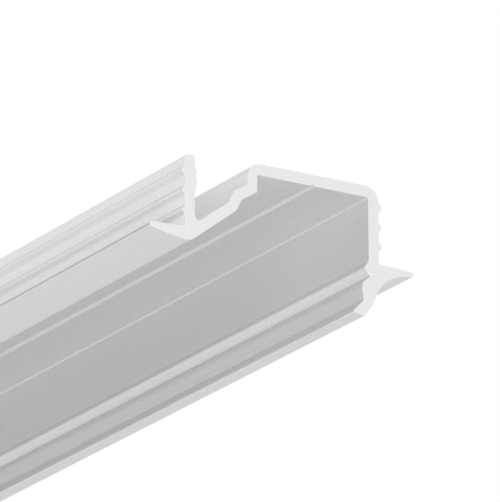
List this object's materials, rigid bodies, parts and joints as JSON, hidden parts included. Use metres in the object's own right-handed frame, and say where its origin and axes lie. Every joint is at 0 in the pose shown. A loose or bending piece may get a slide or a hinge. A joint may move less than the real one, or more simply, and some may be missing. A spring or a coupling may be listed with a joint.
{
  "type": "led strip aluminium profile",
  "caption": "Recessed aluminium extrusion for a light strip: box channel open below, folded side web, ridged fin and flat wings.",
  "frame": {"origin": "middle of the roof's outer face, midway along the bar and midway between the box's inner faces", "axes": "+Y along the bar, away from the end that the picture shows; +Z out of the roof, up into the ceiling; +X towards the ridged wall and its lip"},
  "size_m": [0.0386, 0.5, 0.0173],
  "materials": {
    "aluminium": "matte anodised, sawn ends paler"
  },
  "bodies": {
    "root": {"profile": "aluminium"}
  },
  "joints": []
}
